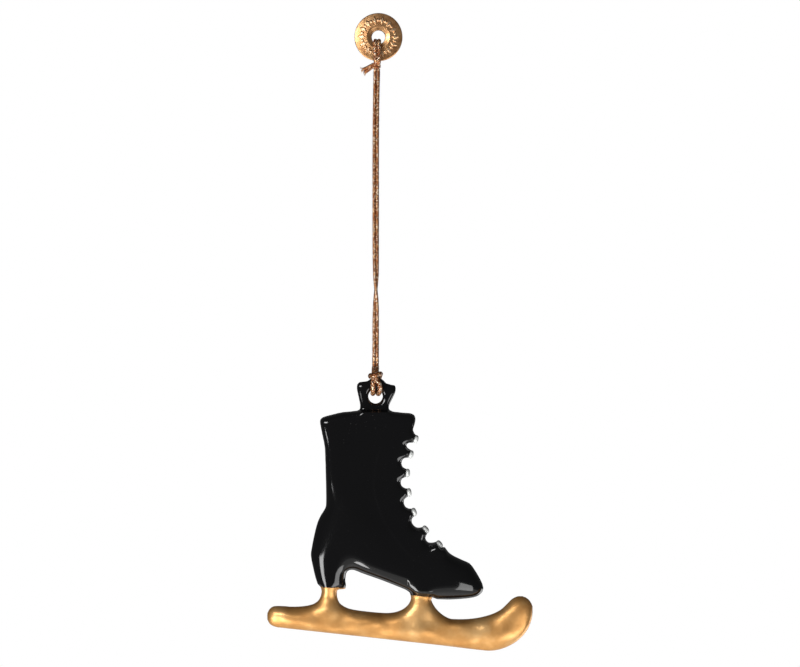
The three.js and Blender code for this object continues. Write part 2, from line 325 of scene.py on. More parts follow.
TAIL_RADIUS = 0.42
UPPER_TAIL_ROUTE = [
    (-0.5, -0.7, -6.85), (-1.3, -0.75, -6.95), (-2.4, -0.55, -7.5), (-3.5, -0.4, -8.0), (-3.9, -0.35, -8.1),
]
LOWER_TAIL_ROUTE = [
    (-0.6, -0.5, -7.3), (-1.3, -0.35, -7.35), (-2.15, -0.2, -7.95), (-3.1, -0.15, -8.65),
    (-3.35, -0.1, -8.85),
]
tail_upper, _, _ = braided_tube("cord_tail_upper_braid", UPPER_TAIL_ROUTE, (0, 0, 1), TAIL_RADIUS)
tail_lower, _, _ = braided_tube("cord_tail_lower_braid", LOWER_TAIL_ROUTE, (0, 0, 1), TAIL_RADIUS)

YARN_RADIUS = 0.07
YARN_SPREAD = 0.26
YARN_START = 0.15


def frayed_end(name, route, seed, count=15, length=0.75):
    """Loose yarns at a cut end: each bends out from the tail's direction by its own amount."""
    rng = np.random.default_rng(seed)
    end = np.array(route[-1], float)
    ahead = end - route[-2]
    ahead /= np.linalg.norm(ahead)
    side = np.cross(ahead, (0, 1, 0))
    side /= np.linalg.norm(side)
    up = np.cross(side, ahead)
    turns, bends = rng.uniform(0, 2 * np.pi, count), rng.uniform(0.1, 0.75, count)
    reach = length * rng.uniform(0.6, 1.1, count)
    t = np.linspace(0, 1, 7)[:, None]
    ring = np.linspace(0, 2 * np.pi, 6, endpoint=False)
    points, faces, first = [], [], 0
    for turn_at, bend, far in zip(turns, bends, reach):
        outward = np.cos(turn_at) * side + np.sin(turn_at) * up
        path = end - YARN_START * ahead + YARN_SPREAD * outward
        path = path + far * t * ahead + far * bend * t**2 * outward
        size = YARN_RADIUS * (1 - 0.5 * t**3)
        round_it = np.cos(ring)[None, :, None] * side - np.sin(ring)[None, :, None] * up
        some_points, some_faces = capped_tube(path[:, None] + size[..., None] * round_it, path[0], path[-1])
        points.append(some_points)
        faces += [part + first for part in some_faces]
        first += len(some_points)
    points = np.vstack(points)
    attributes = {"cord_place": points, "yarn_height": np.full(len(points), 0.8)}
    return add_piece(name, points, faces, attributes)


fray_upper = frayed_end("cord_tail_upper_fray", UPPER_TAIL_ROUTE, seed=4)
fray_lower = frayed_end("cord_tail_lower_fray", LOWER_TAIL_ROUTE, seed=9)

# %% [markdown]
# ## The hitch on the tab
#
# The lower end of the doubled cord is a loop that goes through the tab's hole and over itself. Each
# strand comes down in front of the bar, goes back through the hole, climbs behind the bar, and the
# two join in the turn that lies across the front. It is one strand on one route, which keeps clear
# of the bar all the way round, because the bar turns in it.

# %% Hitch
HITCH_RADIUS = 0.58
HITCH_ROUTE = [
    (-1.05, 0.1, -82.5), (-1.1, -0.9, -83.8), (-1.15, -1.85, -85.0), (-1.3, -2.5, -86.6),
    (-1.35, -2.25, -88.1), (-1.4, -1.1, -89.0), (-1.35, 0.3, -89.05), (-1.3, 1.6, -88.8),
    (-1.35, 2.5, -87.4), (-1.55, 2.25, -85.5), (-1.9, 1.0, -84.65), (-2.0, -0.6, -84.75),
    (-1.8, -2.0, -84.8), (-1.1, -2.95, -84.6), (-0.2, -2.85, -84.3), (0.35, -1.8, -84.2),
    (0.5, -0.3, -84.2), (0.4, 1.1, -84.5), (0.1, 2.2, -85.5), (-0.1, 2.6, -87.2),
    (-0.15, 1.95, -88.5), (-0.1, 0.35, -89.1), (0.08, -1.1, -89.0), (0.33, -2.25, -88.45),
    (0.38, -2.82, -87.25), (0.0, -2.88, -86.3), (-0.55, -2.2, -85.1), (-0.5, -1.0, -83.8),
    (-0.4, 0.1, -82.5),
]
hitch, _, hitch_length = braided_tube("cord_hitch_braid", HITCH_ROUTE, (1, 0, 0), HITCH_RADIUS)
print("hitch length in mm:", round(hitch_length, 1))

# %% [markdown]
# ## The tag
#
# The tag is stamped from thin brass sheet: a disc with a hole, softly domed, with a ring of raised
# ornament. It is a surface of revolution, so one profile turned round its axis gives the disc, and
# the stamped ring is a height that depends on the radius and the angle. The punch drags the metal
# with it, so the faces sink towards the hole, and the hole narrows a little towards the back.

# %% Tag
tag_low, tag_high = (np.array(corner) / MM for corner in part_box("tag_disc"))
TAG_RADIUS = (tag_high[0] - tag_low[0]) / 2
TAG_HALF_THICKNESS = (tag_high[1] - tag_low[1]) / 2
TAG_HOLE_RADIUS = 1.8
TAG_ROUNDING = 0.22
TAG_HOLE_ROUNDING = 0.1
TAG_DOME = 0.45
TAG_DISH = 0.3
TAG_HOLE_NARROWING = 0.14
PUNCH_REACH = 2.3
ORNAMENT_COUNT = 14
ORNAMENT_RADIUS = 4.2
ORNAMENT_HEIGHT = 0.2


def stamped_ring(radius, angle):
    """Height of the raised ring: a lozenge and a bead by turns, each a smooth bump."""
    share = angle * ORNAMENT_COUNT / (2 * np.pi)
    lozenge_arc = (share - np.round(share)) * 2 * np.pi / ORNAMENT_COUNT * radius
    bead_share = share - 0.5
    bead_arc = (bead_share - np.round(bead_share)) * 2 * np.pi / ORNAMENT_COUNT * radius
    lozenge = 1 - np.abs(radius - ORNAMENT_RADIUS) / 1.05 - np.abs(lozenge_arc) / 0.6
    bead = 1 - np.hypot(radius - ORNAMENT_RADIUS, bead_arc) / 0.42
    return ORNAMENT_HEIGHT * np.maximum(smoothstep(0, 0.35, lozenge), smoothstep(0, 0.5, bead))


def tag_surface(turns=540):
    """The closed profile (radius, depth) turned round Y, with the stamped ring added to its faces."""
    arc = np.linspace(0, np.pi / 2, 7)[1:]
    r = np.linspace(TAG_HOLE_RADIUS + TAG_HOLE_ROUNDING, TAG_RADIUS - TAG_ROUNDING, 70)
    depth = TAG_HALF_THICKNESS - TAG_DOME * (r / TAG_RADIUS) ** 2
    depth -= TAG_DISH * smoothstep(3.0, TAG_HOLE_RADIUS, r)
    inner = np.stack([TAG_HOLE_RADIUS + TAG_HOLE_ROUNDING * (1 - np.sin(arc[::-1])),
                      depth[0] - TAG_HOLE_ROUNDING * (1 - np.cos(arc[::-1]))], 1)
    outer = np.stack([r[-1] + TAG_ROUNDING * np.sin(arc), depth[-1] - TAG_ROUNDING * (1 - np.cos(arc))], 1)
    half = np.vstack([inner, np.stack([r, depth], 1), outer])
    profile = np.vstack([half, half[::-1] * (1, -1)])
    angle = np.linspace(0, 2 * np.pi, turns, endpoint=False)
    radius = profile[:, 0][:, None] + 0 * angle
    relief = stamped_ring(radius, angle[None])
    depth = profile[:, 1][:, None] + np.sign(profile[:, 1])[:, None] * relief
    punched = smoothstep(PUNCH_REACH, TAG_HOLE_RADIUS, radius) * smoothstep(-0.5, 0.6, depth)
    radius = radius - TAG_HOLE_NARROWING * punched
    points = np.stack([radius * np.cos(angle), depth, radius * np.sin(angle)], -1)
    return points.reshape(-1, 3), grid_faces(len(profile), turns, close_rows=True), relief.ravel()


tag_points, tag_faces, tag_relief = tag_surface()
tag = add_piece("tag_disc_stamped", tag_points, [tag_faces], {"relief": tag_relief / ORNAMENT_HEIGHT})

# %% [markdown]
# ## The casting's outline
#
# The casting is a flat plate cut to the outline of a boot on its blade, with rounded edges that
# differ from place to place. The outline comes first. It is drawn from the middle of the tab's
# hole, with +X to the toe, as three closed shapes that are joined later: the boot, its tab and the
# blade.

# %% Lace ends along the front edge
TAB_HOLE_RADIUS = 1.8
TAB_BAR_HEIGHT = 2.3
LACE_COUNT = 7
LACE_END_LENGTH = 2.0
LACE_DEPTH = 1.95
LACE_BUMP_DEPTH = 0.85
LACE_PITCH_GROWTH = 1.09

bar_centre = joints["skate_tilt"]
HOLE_CENTRE = bar_centre - (0, 0, TAB_HOLE_RADIUS + TAB_BAR_HEIGHT / 2)


def lace_stations():
    """Places of the lace ends on their line, with the directions along it and out of the boot."""
    line = curve_through([(10.7, -10.85), (8.65, -18.9), (10.4, -29.1), (16.5, -36.6)], 60)
    lengths = np.r_[0, np.cumsum(np.linalg.norm(np.diff(line, axis=0), axis=1))]
    share = (np.arange(LACE_COUNT) / (LACE_COUNT - 1)) ** LACE_PITCH_GROWTH * lengths[-1]
    direction = np.gradient(line, axis=0)
    direction /= np.linalg.norm(direction, axis=1)[:, None]
    at = np.stack([np.interp(share, lengths, line[:, k]) for k in (0, 1)], 1)
    along = np.stack([np.interp(share, lengths, direction[:, k]) for k in (0, 1)], 1)
    return at, along, np.stack([-along[:, 1], along[:, 0]], 1)


lace_at, lace_along, lace_out = lace_stations()
print("lace ends at", lace_at.round(2).tolist())


def scalloped_edge():
    """The front edge: a rounded bump under each lace end and a round valley between two of them."""
    half = LACE_END_LENGTH / 2
    start = lace_at - half * lace_along - LACE_BUMP_DEPTH * lace_out
    end = lace_at + half * lace_along - (LACE_BUMP_DEPTH + 0.15) * lace_out
    parts = []
    for k in range(LACE_COUNT):
        parts.append(bezier(start[k], lace_at[k] - 0.55 * lace_out[k], end[k], steps=8))
        if k + 1 < LACE_COUNT:
            low = -(2 * LACE_DEPTH - 0.7 * LACE_BUMP_DEPTH)
            in_one = end[k] + 0.2 * half * lace_along[k] + low * 0.62 * lace_out[k]
            in_two = start[k + 1] - 0.2 * half * lace_along[k] + low * 0.62 * lace_out[k + 1]
            parts.append(bezier(end[k], in_one, in_two, start[k + 1], steps=12)[1:-1])
    return np.vstack(parts)


# %% Outlines
REAR_POST = (-13.45, -9.65)
FRONT_POST = (8.85, 13.95)
HEEL_SEAT = -47.7


def boot_outline():
    """Up the back of the boot, over the collar, down the laces, round the toe and along the arch."""
    return np.vstack([
        [(REAR_POST[0], HEEL_SEAT), (-13.7, -47.65)],
        curve_through([(-14.5, -46.9), (-15.1, -44.9), (-15.55, -43), (-16.15, -39.9), (-15.95, -38),
                       (-15.35, -34.9), (-14.6, -31.9), (-13.75, -29.9), (-12.55, -27.9),
                       (-12.3, -26), (-12.45, -19), (-12.65, -13), (-13.4, -9), (-13.8, -6.9)]),
        bezier((-13.85, -6.5), (-14.0, -5.5), (-12.8, -5.1)),
        curve_through([(-12.35, -4.95), (-10.35, -4.45), (-8.35, -4.0), (-5.35, -3.7)]),
        [(-4, -3.6), (4.5, -3.85), (7.0, -4.1)],
        bezier((8.3, -4.2), (10.3, -4.3), (9.95, -6.2)),
        curve_through([(9.8, -6.9), (9.4, -8.3), (9.75, -9.3)]),
        scalloped_edge(),
        curve_through([(17.3, -37.7), (18.4, -39.1), (19.65, -39.95), (21.9, -41), (23.6, -41.8),
                       (24.9, -43.5), (26.3, -45.9), (26.95, -47.6), (26.7, -48.9), (25.4, -49.95),
                       (23.2, -50.45), (19, -50.75), (15.4, -50.7)], 6),
        [(14.2, -50.2), (13.6, -50.6), (9.4, -50.4), (8.9, -49.5), (8.5, -48.95)],
        curve_through([(7.6, -48.3), (1.65, -45.95), (-2.9, -44.35), (-4.4, -43.75)]),
        bezier((-5.3, -43.4), (-7.4, -42.9), (-7.5, -45.3)),
        bezier((-7.55, -46.2), (-7.0, -48.1), (-7.8, -48.2)),
        [(-9.3, -48.25), (-9.7, -48.4), (-13.2, -48.4)],
    ])


def tab_outline():
    """Two rounded ears with a higher lobe between them, over slanting sides."""
    top = TAB_HOLE_RADIUS + TAB_BAR_HEIGHT
    return np.vstack([
        [(-4.9, -6), (-4.5, -4.3)],
        bezier((-4.3, -3.6), (-3.7, -3.2), (-3.8, -2.1)),
        bezier((-4.55, 1.4), (-5.0, 3.4), (-3.6, 3.62)),
        [(-2.6, 3.72)],
        bezier((-1.9, 3.8), (-1.3, top + 0.55), (0.1, top + 0.5)),
        bezier((0.5, top + 0.5), (1.7, top + 0.4), (2.35, 3.6)),
        bezier((2.6, 3.3), (3.1, 3.1), (3.7, 2.95)),
        bezier((4.9, 2.7), (5.25, 1.7), (4.75, 0.5)),
        bezier((3.55, -1.9), (2.9, -3.1), (3.9, -3.7)),
        [(4.6, -4.2), (4.9, -6)],
    ])


def blade_outline():
    """The runner from its tail to its curled toe, with the two posts that go up into the boot."""
    return np.vstack([
        [(REAR_POST[1], -46.8), (REAR_POST[0], -46.8), (REAR_POST[0], -48.6)],
        bezier((-13.5, -49.2), (-13.9, -52), (-16.2, -52.45), (-19.8, -52.6)),
        bezier((-21.5, -52.6), (-23.0, -52.4), (-24.7, -52.38)),
        bezier((-24.75, -52.38), (-26.2, -52.4), (-27.12, -53.6), (-27.12, -55.0)),
        bezier((-27.1, -55.1), (-27.1, -56.6), (-26.0, -57.6), (-24.3, -57.75)),
        [(-18.4, -58.4), (-1.9, -60.2), (16.2, -62.2), (25.2, -63.3)],
        bezier((28.2, -63.6), (32, -63.7), (36.2, -61.6), (39.2, -58.6), (39.3, -53.6)),
        bezier((39.3, -52.6), (38.6, -49.7), (35.8, -49.15), (34.3, -50.3), (33.4, -51.4)),
        bezier((32.0, -52.8), (30.2, -54.6), (25.5, -55.8), (21, -55.75)),
        bezier((18.9, -55.7), (16.2, -54.9), (14.6, -52.7), (14.1, -51.5), (FRONT_POST[1], -50.9)),
        [(FRONT_POST[1], -48.4), (FRONT_POST[0], -48.4), (FRONT_POST[0], -49.9)],
        bezier((8.9, -50.5), (8.6, -52.3), (7, -53.6), (5.2, -54.2), (2.6, -54.2)),
        curve_through([(0.2, -54.05), (-3.9, -53.6), (-6.4, -53.15), (-7.8, -52.6)]),
        bezier((-8.7, -52), (-9.5, -51.2), (REAR_POST[1], -49.6)),
    ])


# %% [markdown]
# ## From outline to casting
#
# A plate with rounded edges could be a grid carried along the outline, but here the edges of the
# heel, the posts and the boot flow into each other, and a grid would fold where they meet. So the
# casting is a level surface. Each point of a flat grid gets its distance to the outline, which
# fixes the edge. Inside, a number called swell rises from 0 at the edge towards 1, as a soap film
# does that is blown out of the outline. The casting is then all points whose depth squared is
# less than the half thickness squared times the swell.

# %% Distance to an outline
CELL = 0.25
x_line = np.arange(-29.0, 41.5, CELL)
z_line = np.arange(-65.5, 6.5, CELL)
grid_x, grid_z = np.meshgrid(x_line, z_line, indexing="ij")


def signed_distance(outline):
    """Distance from each grid point to a closed outline, positive inside it.

    The distance to one edge is the length from the point to its foot on the edge. A point is
    inside if a ray to the left crosses the outline an odd number of times."""
    start = np.asarray(outline)
    start = start[np.linalg.norm(start - np.roll(start, 1, axis=0), axis=1) > 1e-6]
    edge = np.roll(start, -1, axis=0) - start
    nearest = np.full(grid_x.shape, np.inf)
    crossings = np.zeros(grid_x.shape, int)
    for (px, pz), (ex, ez) in zip(start, edge):
        dx, dz = grid_x - px, grid_z - pz
        foot = np.clip((dx * ex + dz * ez) / (ex * ex + ez * ez), 0, 1)
        nearest = np.minimum(nearest, (dx - foot * ex) ** 2 + (dz - foot * ez) ** 2)
        spans = (grid_z >= min(pz, pz + ez)) & (grid_z < max(pz, pz + ez))
        if ez:
            crossings += spans & (grid_x > px + (grid_z - pz) / ez * ex)
    return np.sqrt(nearest) * np.where(crossings % 2, 1, -1)


def blend_union(one, other, width):
    """The larger of two distances, with a fillet of about the given width where they meet."""
    share = np.clip(0.5 + 0.5 * (one - other) / width, 0, 1)
    return other + (one - other) * share + width * share * (1 - share)


FILLET = 0.5
boot_distance = blend_union(signed_distance(boot_outline()), signed_distance(tab_outline()), FILLET)
boot_distance = np.minimum(boot_distance, np.hypot(grid_x, grid_z) - TAB_HOLE_RADIUS)
distance_in = blend_union(boot_distance, signed_distance(blade_outline()), FILLET)

# %% [markdown]
# ## Thickness and rounding
#
# Half thickness and rounding length are given at a few places and mixed between them, each
# place counting less the further away it is. The rounding length is short along the shaft, whose
# faces are flat, and long at the heel, the toe and the runner, which are round all over. The tab is
# a thin plate of its own. The paint line, where the black meets the gold, parts boot from blade.
#
# The swell settles in rounds: each cell becomes the mean of its four neighbours and a pull
# towards 1, which is stronger where the rounding length is short.

# %% Thickness and rounding
# Each place is x, z, half thickness and rounding length.
THICKNESS_PLACES = np.array([
    (-9, -8, 3.3, 0.5), (6, -8, 3.3, 0.45),
    (-9, -18, 3.4, 0.55), (5, -18, 3.3, 0.45),
    (-9, -24, 3.6, 0.6), (4, -28, 3.4, 0.5),
    (-11, -29, 4.9, 3.6), (-11, -33, 4.6, 4.2), (-11, -37, 4.1, 3.8),
    (-11, -42, 3.7, 2.2), (-11, -46, 3.3, 1.4),
    (-3, -36, 4.45, 1.4), (2, -42, 4.5, 1.5), (9, -46, 4.6, 1.7),
    (9, -36, 3.9, 0.7), (15, -42, 4.5, 1.5), (21, -45.5, 5.2, 2.4), (25, -48, 5.0, 2.4),
])
RUNNER_PLACES = np.array([
    (-24, -55, 3.2, 1.7), (-16, -55, 3.3, 1.9), (-11.5, -50, 2.9, 1.1), (-4, -57, 3.4, 2.0),
    (6, -58, 3.4, 2.0), (11.4, -52, 3.0, 1.3), (18, -59, 3.4, 2.1), (28, -59.5, 3.3, 2.1),
    (36, -56, 3.3, 2.1), (37, -51.5, 3.2, 1.8),
])


def mixed(places, reach=3.6):
    """Two maps over the grid: each place's values weighted by a bell curve of its distance."""
    far = (grid_x[..., None] - places[:, 0]) ** 2 + (grid_z[..., None] - places[:, 1]) ** 2
    weight = np.exp(-(far - far.min(-1, keepdims=True)) / (2 * reach**2))
    weight /= weight.sum(-1, keepdims=True)
    return weight @ places[:, 2], weight @ places[:, 3]


LACE_ROUNDING = 0.3
TAB_HALF_THICKNESS = 1.35
TAB_ROUNDING = 0.42
SWELL_ROUNDS = 600
PAINT_LINE_X = [-14.0, -9.5, 8.5, 12.6, 14.85, 15.15, 27.8, 28.6]
PAINT_LINE_Z = [-47.6, -47.75, -49.6, -49.85, -50.45, -52.2, -53.2, -46.0]
paint_line = np.interp(grid_x, PAINT_LINE_X, PAINT_LINE_Z)

thickness, rounding = mixed(THICKNESS_PLACES)
runner_thickness, runner_rounding = mixed(RUNNER_PLACES)
on_blade = smoothstep(1.6, -0.5, grid_z - paint_line)
thickness += (runner_thickness - thickness) * on_blade
rounding += (runner_rounding - rounding) * on_blade
from_laces = np.min(np.hypot(grid_x[..., None] - lace_at[:, 0], grid_z[..., None] - lace_at[:, 1]), -1)
rounding += (LACE_ROUNDING - rounding) * smoothstep(4.0, 2.4, from_laces)
on_tab = smoothstep(-3.9, -3.3, grid_z)
thickness += (TAB_HALF_THICKNESS - thickness) * on_tab
rounding += (TAB_ROUNDING - rounding) * on_tab

swell = np.where(distance_in > 0, 1 - np.exp(-distance_in / rounding), distance_in / rounding)
pull = (CELL / rounding[1:-1, 1:-1]) ** 2
for _ in range(SWELL_ROUNDS):
    neighbours = swell[2:, 1:-1] + swell[:-2, 1:-1] + swell[1:-1, 2:] + swell[1:-1, :-2]
    settled = (neighbours + pull) / (4 + pull)
    swell[1:-1, 1:-1] = np.where(distance_in[1:-1, 1:-1] > 0, settled, swell[1:-1, 1:-1])
depth_squared = thickness**2 * swell

# %% [markdown]
# ## Modelled detail on the faces
#
# The facing under the laces is a separate panel on a real boot, so the casting has a shallow step
# up along its edge, and falls away from there to the laces. Short ridges run in from the lace
# ends. Along the arch both faces are cut back to a bevel, which ends at the heel and at the front
# post. The hand-finished metal is never quite flat, so a faint waviness is added to all of it,
# and a stronger one to the blade.

# %% Facing, lace ridges, waviness and arch
FACING_STEP = 0.14
FACING_FALL = 0.06
RIDGE_HEIGHT = 0.22
BOOT_WAVE = 0.012
BLADE_WAVE = 0.15
ARCH_START = (-4.4, -43.9)
ARCH_UP = (0.344, 0.939)
ARCH_RIM = 2.75
ARCH_SLOPE = 0.5
ARCH_SOFTNESS = 0.08
ARCH_END_RISE = 4.0
NO_BEVEL = 9.0
seam = curve_through([(2.2, -9.2), (1.55, -11.9), (0.2, -16.7), (-0.35, -21.7), (0.15, -25.4),
                      (2.3, -31.1), (4.75, -34.8), (7.65, -38.4), (11.2, -41.2), (14.5, -42.6)], 16)
order = np.argsort(seam[:, 1])
seam_x = np.interp(grid_z, seam[order, 1], seam[order, 0])
seam_slope = np.gradient(seam_x, CELL, axis=1)
across_seam = (grid_x - seam_x) / np.sqrt(1 + seam_slope**2)
seam_fade = smoothstep(-43, -38, grid_z) * smoothstep(-8, -16, grid_z)
face_detail = (FACING_STEP * smoothstep(-0.25, 0.25, across_seam)
               - FACING_FALL * np.clip(across_seam, 0, 12)) * seam_fade

for at, along, out in zip(lace_at, lace_along, lace_out):
    dx, dz = grid_x - at[0], grid_z - at[1]
    beside_lace = dx * along[0] + dz * along[1]
    inward = -(dx * out[0] + dz * out[1])
    face_detail += RIDGE_HEIGHT * np.exp(-((beside_lace / 0.5) ** 2)) * smoothstep(2.6, 1.2, inward)


def waves(seed, shortest, count=40):
    """A smooth random height: many sine waves of random direction, none shorter than shortest."""
    rng = np.random.default_rng(seed)
    total = np.zeros(grid_x.shape)
    for _ in range(count):
        direction = rng.uniform(0, 2 * np.pi)
        length = shortest * rng.uniform(1, 2.5)
        phase = rng.uniform(0, 2 * np.pi)
        across = grid_x * np.cos(direction) + grid_z * np.sin(direction)
        total += np.sin(across * 2 * np.pi / length + phase)
    return total / np.sqrt(count / 2)


face_detail += BOOT_WAVE * waves(3, 7.0)
face_detail += on_blade * BLADE_WAVE * waves(5, 5.0)
inside_edge = smoothstep(0.0, 0.9, distance_in)
half_depth = np.sqrt(np.maximum(depth_squared, 0)) + face_detail * inside_edge
above_arch = (grid_x - ARCH_START[0]) * ARCH_UP[0] + (grid_z - ARCH_START[1]) * ARCH_UP[1]
past_arch = smoothstep(-5.5, -8.5, grid_x) + smoothstep(8, 11, grid_x)
arch_bevel = ARCH_RIM + ARCH_SLOPE * above_arch + ARCH_END_RISE * past_arch
arch_bevel = np.where(grid_z > paint_line, arch_bevel, NO_BEVEL)
limited = np.clip(0.5 + 0.5 * (half_depth - arch_bevel) / ARCH_SOFTNESS, 0, 1)
half_depth += (arch_bevel - half_depth) * limited - ARCH_SOFTNESS * limited * (1 - limited)
half_depth = np.maximum(half_depth, 0.3)
depth_squared = np.where(distance_in > 0, half_depth**2, depth_squared)

# %% [markdown]
# ## Meshing the casting
#
# The level surface is drawn with a surface net: every cell of a 3-D grid that the surface passes
# through gets one point, at the middle of the places where the surface crosses the cell's edges,
# and every crossed grid edge gets a four-sided face between the points of its four cells.
#
# The net's points are a little off the surface, so each is then moved onto it along the slope. The
# paint line cuts the casting in two closed solids, so that each finish is a piece of its own.


# %% Surface net
def surface_net(field, origin):
    """Points and faces of the surface where a 3-D grid of values passes through 0."""
    inside = field > 0
    corners = np.array([(i, j, k) for i in (0, 1) for j in (0, 1) for k in (0, 1)])
    shape = tuple(np.array(field.shape) - 1)
    count = sum(inside[tuple(slice(c, c + s) for c, s in zip(corner, shape))].astype(np.int8)
                for corner in corners)
    cells = np.argwhere((count > 0) & (count < 8))
    values = np.stack([field[tuple((cells + corner).T)] for corner in corners], 1)
    total = np.zeros((len(cells), 3))
    crossed = np.zeros(len(cells))
    for a in range(8):
        for b in range(a + 1, 8):
            if np.abs(corners[a] - corners[b]).sum() != 1:
                continue
            cut = (values[:, a] > 0) != (values[:, b] > 0)
            share = values[cut, a] / (values[cut, a] - values[cut, b])
            total[cut] += corners[a] + share[:, None] * (corners[b] - corners[a])
            crossed[cut] += 1
    points = (cells + total / crossed[:, None]) * CELL + origin
    number = np.full(shape, -1)
    number[tuple(cells.T)] = np.arange(len(cells))
    faces = []
    for axis in range(3):
        step, one, two = np.roll(np.eye(3, dtype=int), -axis, axis=0)
        low = tuple(slice(0, n - s) for n, s in zip(field.shape, step))
        high = tuple(slice(s, None) for s in step)
        for starts_inside in (True, False):
            edges = np.argwhere((inside[low] == starts_inside) & (inside[high] != starts_inside))
            ring = [number[tuple((edges - shift).T)] for shift in (0 * one, one, one + two, two)]
            faces.append(np.stack(ring if starts_inside else ring[::-1], 1))
    return points, np.vstack(faces)


def smooth_sample(field, x, z):
    """Values of a map at any points, by a Catmull-Rom curve both ways through 4 x 4 neighbours."""
    def weights(t):
        return ((-t + 2 * t**2 - t**3) / 2, (2 - 5 * t**2 + 3 * t**3) / 2,
                (t + 4 * t**2 - 3 * t**3) / 2, (t**3 - t**2) / 2)
    u, v = (x - x_line[0]) / CELL, (z - z_line[0]) / CELL
    i, j = np.floor(u).astype(int), np.floor(v).astype(int)
    along_x, along_z = weights(u - i), weights(v - j)
    return sum(along_x[a] * along_z[b] * field[i + a - 1, j + b - 1] for a in range(4) for b in range(4))


def on_surface(points, cut_height):
    """Moves each point onto the level surface along its slope, away from the paint line's cut."""
    slope_x, slope_z = np.gradient(depth_squared, CELL)
    for _ in range(3):
        x, y, z = points.T
        value = smooth_sample(depth_squared, x, z) - y**2
        slope = np.stack([smooth_sample(slope_x, x, z), -2 * y, smooth_sample(slope_z, x, z)], 1)
        near_cut = smoothstep(0.1, 0.5, np.abs(smooth_sample(cut_height, x, z)))
        move = np.clip(value / (slope**2).sum(1), -0.05, 0.05)[:, None] * slope
        points = points - move * near_cut[:, None]
    return points


BLADE_LAP = 0.3
LAP_THINNING = 0.12
RAGGEDNESS = 0.07
y_line = np.arange(-22, 23) * CELL
solid = depth_squared[:, None, :] - y_line[None, :, None] ** 2
ragged = RAGGEDNESS * waves(11, 0.9)
origin = np.array([x_line[0], y_line[0], z_line[0]])


def casting_half(side, lap):
    """One side of the paint line: +1 is the boot, with a ragged edge, and -1 the blade.

    The blade goes on into the boot by the lap, a little thinner, so that no gap shows."""
    height = (grid_z - paint_line - ragged * (side > 0)) * side + lap
    thinner = LAP_THINNING * smoothstep(0.1, 0, height - lap) * (side < 0)
    cut = np.minimum(solid - thinner[:, None, :], 8 * height[:, None, :])
    points, faces = surface_net(cut, origin)
    return on_surface(points, height) + HOLE_CENTRE, [faces]


boot = add_piece("boot_enamelled", *casting_half(+1, 0.0))
blade = add_piece("blade_gilded", *casting_half(-1, BLADE_LAP))

# %% [markdown]
# ## Lace ends
#
# The moulded laces cross the boot's front edge, and their ends are picked out in white. Each is a
# pad across the edge: a rounded section carried along Y that closes to a point at both ends, so it
# is a function of the angle round the section and the place along it. The powers make the section
# squarer than an ellipse.

# %% Lace ends
LACE_HALF_WIDTH = 2.75
LACE_HALF_LENGTH = 0.98
LACE_HALF_HEIGHT = 0.62


def lace_pad(at, along, out, turns=32, rows=33):
    """A pad: its section lies round a centre, along the edge and out of it, and shrinks to two ends."""
    t = np.linspace(-0.99, 0.99, rows)[:, None]
    size = (1 - np.abs(t) ** 5) ** 0.5
    angle = np.linspace(0, 2 * np.pi, turns, endpoint=False)[None]
    bulge_along = np.sign(np.cos(angle)) * np.abs(np.cos(angle)) ** 0.75 * LACE_HALF_LENGTH
    bulge_out = -np.sign(np.sin(angle)) * np.abs(np.sin(angle)) ** 0.9 * LACE_HALF_HEIGHT
    centre = at - LACE_HALF_HEIGHT * out
    flat = centre + size[..., None] * (bulge_along[..., None] * along + bulge_out[..., None] * out)
    y = LACE_HALF_WIDTH * t + 0 * angle
    rings = np.stack([flat[..., 0], y, flat[..., 1]], -1) + HOLE_CENTRE
    tips = np.array([(centre[0], y, centre[1]) for y in (-LACE_HALF_WIDTH, LACE_HALF_WIDTH)]) + HOLE_CENTRE
    return capped_tube(rings, *tips)


lace_ends = [add_piece(f"lace_end_{number}_enamel", *lace_pad(*station))
             for number, station in enumerate(zip(lace_at, lace_along, lace_out), 1)]

# %% [markdown]
# ## Materials
#
# One function turns a hex colour to the linear values that Blender wants, one sets or links a
# node's inputs, and one adds a node. The rest are the few nodes that come again and again. Each
# material is named for the real finish.


# %% Material helpers
def linear(hex_colour):
    """An sRGB hex colour as linear red, green, blue and alpha."""
    raw = np.array([int(hex_colour[k:k + 2], 16) for k in (1, 3, 5)]) / 255
    value = np.where(raw <= 0.04045, raw / 12.92, ((raw + 0.055) / 1.055) ** 2.4)
    return (*value.tolist(), 1.0)


def set_inputs(node, **inputs):
    """Sets a node's inputs to values, or links them from other nodes' outputs."""
    for key, value in inputs.items():
        socket = node.inputs[int(key[1:])] if key[1:].isdigit() else node.inputs[key.replace("_", " ")]
        if isinstance(value, bpy.types.NodeSocket):
            node.id_data.links.new(value, socket)
        else:
            socket.default_value = value


def add_node(tree, kind, settings=None, **inputs):
    """A node of that kind; settings are its own, and inputs are values or other nodes' outputs."""
    node = tree.nodes.new(kind)
    for key, value in (settings or {}).items():
        setattr(node, key, value)
    set_inputs(node, **inputs)
    return node


def new_material(name):
    """A material with its node tree and its Principled shader."""
    material = bpy.data.materials.new(name)
    material.use_nodes = True
    return material, material.node_tree, material.node_tree.nodes["Principled BSDF"]


def ramp(tree, factor, *stops):
    """A colour ramp's colour output, from pairs of place and hex colour."""
    node = add_node(tree, "ShaderNodeValToRGB", Fac=factor)
    for element, (place, colour) in zip(node.color_ramp.elements, stops[:1] + stops[-1:]):
        element.position, element.color = place, linear(colour)
    for place, colour in stops[1:-1]:
        node.color_ramp.elements.new(place).color = linear(colour)
    return node.outputs["Color"]


def noise(tree, place, per_mm, **inputs):
    """Smooth noise over a place, its scale given per millimetre."""
    return add_node(tree, "ShaderNodeTexNoise", Vector=place, Scale=per_mm / MM, **inputs).outputs["Fac"]


